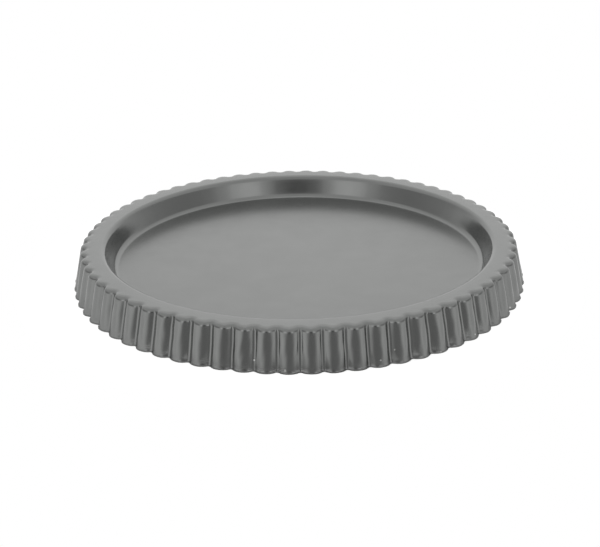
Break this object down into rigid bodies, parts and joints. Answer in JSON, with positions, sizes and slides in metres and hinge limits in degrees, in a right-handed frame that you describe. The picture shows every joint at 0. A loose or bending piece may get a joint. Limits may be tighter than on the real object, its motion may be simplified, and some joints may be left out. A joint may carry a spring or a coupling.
{
  "type": "fluted flan tin",
  "caption": "Round shallow flan tin with a fluted flaring wall, a gutter and a raised flat centre, pressed from coated sheet steel and standing upside down on its open rim.",
  "frame": {"origin": "centre of the plane that the open rim stands on, the lowest point of the tin as it stands in the picture", "axes": "+Z is the tin's axis of symmetry and points up from the open rim through the outside of the base, so the baking side faces -Z and the tin is turned over for use; +X and +Y point through grooves of the fluted wall"},
  "size_m": [0.2796, 0.2796, 0.0244],
  "materials": {
    "sheet_steel": "satin",
    "outer_coat": "satin",
    "baking_coat": "satin"
  },
  "bodies": {
    "root": {"steel_pressing": "sheet_steel", "outer_coat": "outer_coat", "baking_coat": "baking_coat"}
  },
  "joints": []
}
